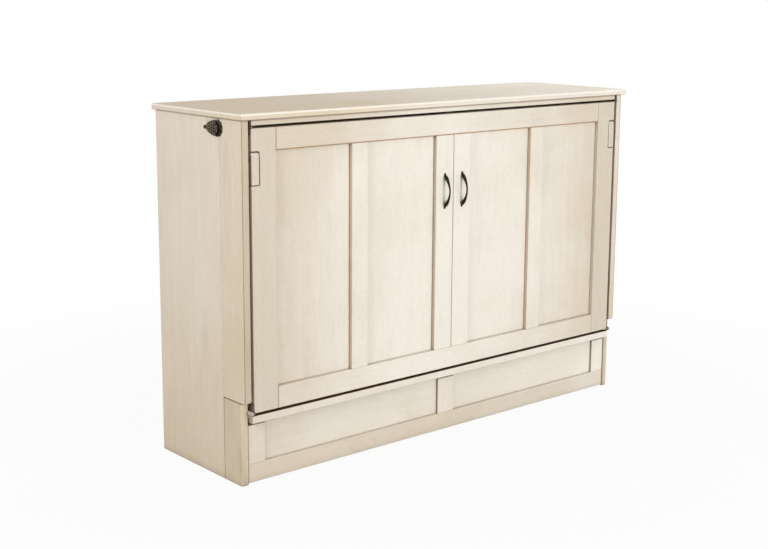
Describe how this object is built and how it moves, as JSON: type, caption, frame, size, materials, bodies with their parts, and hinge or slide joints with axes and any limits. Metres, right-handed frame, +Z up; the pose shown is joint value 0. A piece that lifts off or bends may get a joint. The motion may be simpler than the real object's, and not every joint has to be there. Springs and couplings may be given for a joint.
{
  "type": "cabinet bed",
  "caption": "Low cream cabinet with false door front that drops and unfolds with its top into a bed deck, over a roll-out drawer on casters.",
  "frame": {"origin": "centre of the footprint's bounding box on the floor", "axes": "+X to the right seen from the front, -Y out of the front, +Z up"},
  "size_m": [1.665, 0.493, 1.105],
  "materials": {
    "cream_paint": "satin paint with brown glaze",
    "bare_wood": "clear matt",
    "bronze": "dark antique",
    "steel": "zinc",
    "wheel_rubber": "matt",
    "ticking": "woven"
  },
  "bodies": {
    "cabinet": {"left_side_rear_board": "cream_paint", "right_side_rear_board": "cream_paint", "left_side_front_board": "cream_paint", "right_side_front_board": "cream_paint", "left_post": "cream_paint", "right_post": "cream_paint", "back_panel": "bare_wood", "deck_board": "bare_wood", "deck_beam": "bare_wood", "lower_rail": "cream_paint", "left_deck_cleat": "bare_wood", "right_deck_cleat": "bare_wood", "pivot_brackets": "steel", "latch_plates": "bronze", "latch_screws": "bronze", "mattress_front": "ticking", "mattress_middle": "ticking", "mattress_rear": "ticking", "drawer_guides": "bare_wood"},
    "front_panel": {"left_outer_stile": "cream_paint", "right_outer_stile": "cream_paint", "front_top_rail": "cream_paint", "front_bottom_rail": "cream_paint", "left_centre_stile": "cream_paint", "right_centre_stile": "cream_paint", "left_mullion": "cream_paint", "right_mullion": "cream_paint", "field_panels": "cream_paint", "front_deck_board": "bare_wood", "left_handle": "bronze", "right_handle": "bronze", "handle_screws": "steel", "foot_pins": "steel", "pivot_plates": "steel", "lid_pivot_plates": "steel"},
    "lid": {"top_board": "cream_paint", "lid_front_rail": "cream_paint", "lid_deck_board": "bare_wood", "left_lid_bearer": "bare_wood", "right_lid_bearer": "bare_wood", "lid_centre_bearer": "bare_wood", "lid_lugs": "steel"},
    "left_foot": {"left_support_foot": "cream_paint"},
    "right_foot": {"right_support_foot": "cream_paint"},
    "drawer": {"drawer_face": "cream_paint", "drawer_bottom_rail": "cream_paint", "left_drawer_stile": "cream_paint", "right_drawer_stile": "cream_paint", "drawer_centre_stile": "cream_paint", "left_drawer_side": "bare_wood", "right_drawer_side": "bare_wood", "drawer_base": "bare_wood", "drawer_back": "bare_wood", "caster_forks": "steel"},
    "left_front_caster": {"left_front_wheel": "wheel_rubber"},
    "right_front_caster": {"right_front_wheel": "wheel_rubber"},
    "left_rear_caster": {"left_rear_wheel": "wheel_rubber"},
    "right_rear_caster": {"right_rear_wheel": "wheel_rubber"},
    "left_latch": {"left_latch_lever": "bronze"},
    "right_latch": {"right_latch_lever": "bronze"}
  },
  "joints": [
    {"name": "front_drop", "type": "hinge", "parent": "cabinet", "child": "front_panel", "pos_m": [0, -0.2195, 0.224], "axis": [1, 0, 0], "range_deg": [0, 90]},
    {"name": "lid_fold", "type": "hinge", "parent": "front_panel", "child": "lid", "pos_m": [0, -0.2195, 1.065], "axis": [1, 0, 0], "range_deg": [0, 90]},
    {"name": "left_foot_turn", "type": "hinge", "parent": "front_panel", "child": "left_foot", "pos_m": [-0.77575, -0.2055, 0.971], "axis": [-1, 0, 0], "range_deg": [0, 90]},
    {"name": "right_foot_turn", "type": "hinge", "parent": "front_panel", "child": "right_foot", "pos_m": [0.77575, -0.2055, 0.971], "axis": [-1, 0, 0], "range_deg": [0, 90]},
    {"name": "drawer_roll", "type": "slide", "parent": "cabinet", "child": "drawer", "axis": [0, -1, 0], "range_m": [0, 1.15]},
    {"name": "left_front_wheel_spin", "type": "hinge", "parent": "drawer", "child": "left_front_caster", "pos_m": [-0.6995, -0.1075, 0.02], "axis": [1, 0, 0], "continuous": true},
    {"name": "left_rear_wheel_spin", "type": "hinge", "parent": "drawer", "child": "left_rear_caster", "pos_m": [-0.6995, 0.1525, 0.02], "axis": [1, 0, 0], "continuous": true},
    {"name": "left_latch_turn", "type": "hinge", "parent": "cabinet", "child": "left_latch", "pos_m": [-0.8278, -0.1015, 1.055], "axis": [-1, 0, 0], "range_deg": [0, 90]},
    {"name": "right_front_wheel_spin", "type": "hinge", "parent": "drawer", "child": "right_front_caster", "pos_m": [0.6995, -0.1075, 0.02], "axis": [1, 0, 0], "continuous": true},
    {"name": "right_rear_wheel_spin", "type": "hinge", "parent": "drawer", "child": "right_rear_caster", "pos_m": [0.6995, 0.1525, 0.02], "axis": [1, 0, 0], "continuous": true},
    {"name": "right_latch_turn", "type": "hinge", "parent": "cabinet", "child": "right_latch", "pos_m": [0.8278, -0.1015, 1.055], "axis": [-1, 0, 0], "range_deg": [0, 90]}
  ],
  "couplings": [
    {"joint": "lid_fold", "follows": "front_drop", "ratio": 1}
  ]
}
